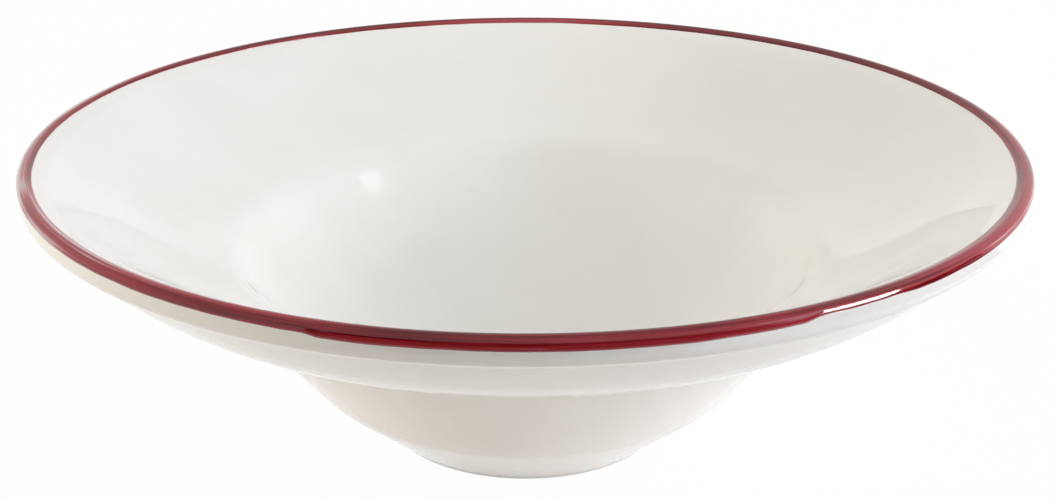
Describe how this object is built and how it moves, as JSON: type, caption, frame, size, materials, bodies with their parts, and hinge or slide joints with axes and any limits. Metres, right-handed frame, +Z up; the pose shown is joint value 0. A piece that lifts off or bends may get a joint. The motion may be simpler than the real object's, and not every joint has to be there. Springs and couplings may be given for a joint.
{
  "type": "salad bowl",
  "caption": "Round stoneware salad bowl with a wide dished flange, a deep central well and a low foot ring, white gloss glaze and a burgundy band painted over the lip.",
  "frame": {"origin": "middle of the foot ring, on the surface that the bowl stands on", "axes": "+Z up along the bowl's axis of turning; X and Y lie in the surface that it stands on, and every direction around Z is alike"},
  "size_m": [0.26, 0.26, 0.0812],
  "materials": {
    "stoneware": "bare fired stoneware, matt and slightly sandy",
    "white_glaze": "cream-white gloss glaze",
    "burgundy_enamel": "gloss enamel, brushed on by hand, streaked along the rim"
  },
  "bodies": {
    "root": {"clay_body": "stoneware", "white_glaze": "white_glaze", "base_glaze": "white_glaze", "rim_band": "burgundy_enamel"}
  },
  "joints": []
}
